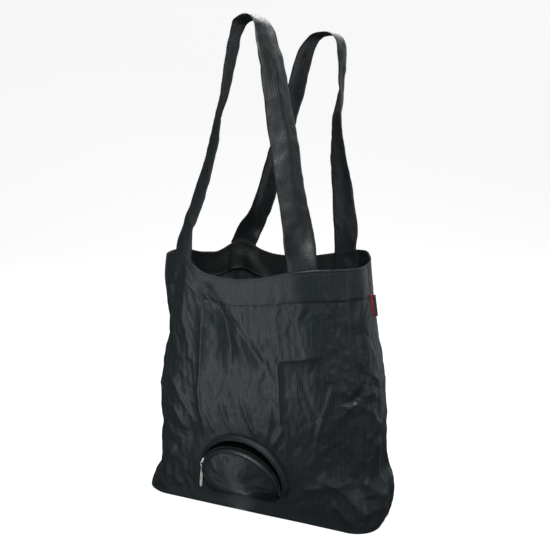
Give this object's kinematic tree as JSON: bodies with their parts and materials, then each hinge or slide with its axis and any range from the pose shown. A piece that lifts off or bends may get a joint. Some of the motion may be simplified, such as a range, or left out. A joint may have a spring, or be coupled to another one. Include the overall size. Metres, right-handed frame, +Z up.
{
  "type": "foldable tote bag",
  "caption": "Open-topped fabric tote with boxed base, two swinging shoulder straps and a half-moon zipped stow pouch low on the front.",
  "frame": {"origin": "centre of the flat base, on the ground", "axes": "+Z up through the open mouth, -Y out of the front with the stow pouch, +X towards the side with the tab label"},
  "size_m": [0.356, 0.2171, 0.7173],
  "materials": {
    "ripstop": "thin charcoal nylon with a fine square grid and a soft satin sheen",
    "strap_fabric": "the same nylon folded double and stitched flat",
    "binding": "plain woven black tape",
    "label_tape": "woven satin tape with one plain red stripe",
    "care_tape": "plain white satin tape",
    "zip_tape": "herringbone woven zip tape",
    "zip_teeth": "black moulded coil",
    "zip_metal": "pale plated die-cast metal",
    "puller_metal": "pale satin metal bar"
  },
  "bodies": {
    "bag": {"front_panel": "ripstop", "back_panel": "ripstop", "front_hem_facing": "ripstop", "back_hem_facing": "ripstop", "front_strap_tails": "strap_fabric", "back_strap_tails": "strap_fabric", "left_seam_binding": "binding", "right_seam_binding": "binding", "base_seam_binding": "binding", "side_label": "label_tape", "care_label": "care_tape", "pouch_back_panel": "ripstop", "pouch_piping": "binding", "zip_tape_bag_side": "zip_tape", "zip_teeth_bag_side": "zip_teeth", "zip_tab_left": "binding", "zip_tab_right": "binding", "zip_stop_left": "zip_metal", "zip_stop_right": "zip_metal"},
    "front_handle": {"front_strap": "strap_fabric"},
    "back_handle": {"back_strap": "strap_fabric"},
    "pouch_flap": {"pouch_front_panel": "ripstop", "pouch_gusset": "ripstop", "zip_tape_pouch_side": "zip_tape", "zip_teeth_pouch_side": "zip_teeth"},
    "slider": {"zip_slider": "zip_metal"},
    "link": {"pull_link": "zip_metal"},
    "puller": {"zip_puller": "puller_metal"}
  },
  "joints": [
    {"name": "front_strap_swing", "type": "hinge", "parent": "bag", "child": "front_handle", "pos_m": [0, -0.0985, 0.3865], "axis": [1, 0, 0], "range_deg": [-10, 150]},
    {"name": "back_strap_swing", "type": "hinge", "parent": "bag", "child": "back_handle", "pos_m": [0, 0.0985, 0.3865], "axis": [-1, 0, 0], "range_deg": [-10, 150]},
    {"name": "pouch_open", "type": "hinge", "parent": "bag", "child": "pouch_flap", "pos_m": [-0.019, -0.05538, 0.02087], "axis": [1, 0, 0], "range_deg": [-8, 60]},
    {"name": "zip_slide", "type": "hinge", "parent": "bag", "child": "slider", "pos_m": [-0.019, -0.05855, 0.04868], "axis": [0, 0.9936, 0.1132], "range_deg": [-5, 145]},
    {"name": "link_swing", "type": "hinge", "parent": "slider", "child": "link", "pos_m": [-0.08243, -0.06762, 0.07089], "axis": [-0.9945, -0.0118, 0.1039], "range_deg": [0, 100]},
    {"name": "puller_swing", "type": "hinge", "parent": "link", "child": "puller", "pos_m": [-0.08327, -0.06672, 0.06298], "axis": [-0.9945, -0.0118, 0.1039], "range_deg": [0, 75]}
  ]
}
